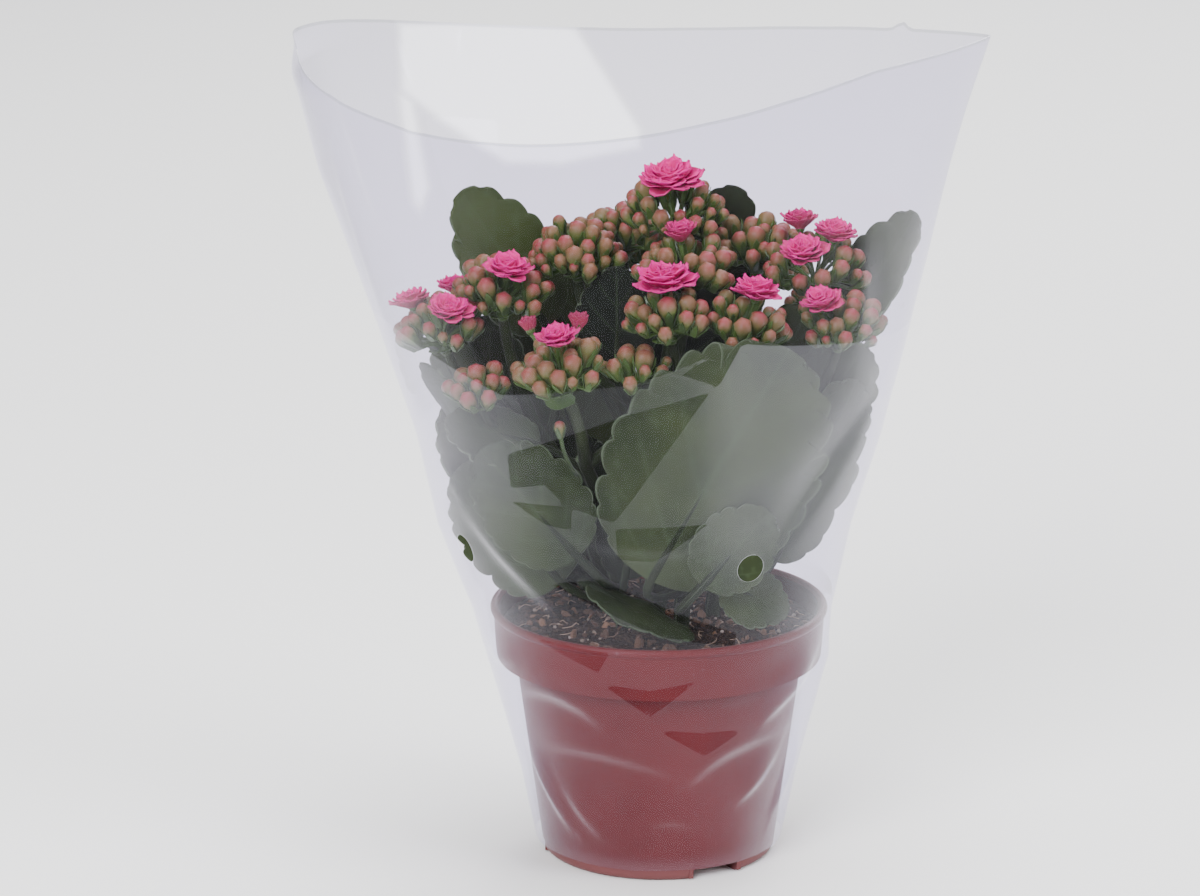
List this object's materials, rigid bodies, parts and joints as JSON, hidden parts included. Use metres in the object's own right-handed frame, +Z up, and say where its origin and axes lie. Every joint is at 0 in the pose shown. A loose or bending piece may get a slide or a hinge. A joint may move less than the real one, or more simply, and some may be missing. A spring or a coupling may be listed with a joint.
{
  "type": "potted kalanchoe",
  "caption": "Flowering kalanchoe with scalloped fleshy leaves and heads of pink double blooms and buds, in a round plastic nursery pot inside a flared clear film sleeve.",
  "frame": {"origin": "centre of the pot's flat base, on the ground", "axes": "+Z up along the pot's axis; the front faces -Y; the sleeve's flat is widest along X, with its pinched seam towards +X"},
  "size_m": [0.2454, 0.1852, 0.296],
  "materials": {
    "pot_plastic": "satin",
    "soil": "matte",
    "clear_film": "polished",
    "leaf": "satin",
    "bud": "satin",
    "petal": "matte"
  },
  "bodies": {
    "root": {"pot": "pot_plastic", "soil": "soil", "sleeve": "clear_film", "stem_front_left": "leaf", "stem_front_right": "leaf", "stem_left": "leaf", "stem_right": "leaf", "stem_middle": "leaf", "stem_back": "leaf", "head_crown": "bud", "head_upper_front": "bud", "head_front_a": "bud", "head_front_b": "bud", "head_low_front_left": "bud", "head_low_front": "bud", "head_left_outer": "bud", "head_left_upper": "bud", "head_left_low": "bud", "head_top_left": "bud", "head_top_middle": "bud", "head_top_right": "bud", "head_right_upper": "bud", "head_right_low": "bud", "head_back_left": "bud", "head_back_middle": "bud", "head_back_right": "bud", "head_far_left": "bud", "head_far_right": "bud", "bloom_01": "petal", "bloom_02": "petal", "bloom_03": "petal", "bloom_04": "petal", "bloom_05": "petal", "bloom_06": "petal", "bloom_07": "petal", "bloom_08": "petal", "bloom_09": "petal", "bloom_10": "petal", "bloom_11": "petal", "bloom_12": "petal", "bloom_13": "petal", "bloom_14": "petal", "bloom_15": "petal", "bloom_16": "petal", "bloom_17": "petal", "bloom_18": "petal", "bloom_19": "petal", "bloom_20": "petal"}
  },
  "joints": []
}
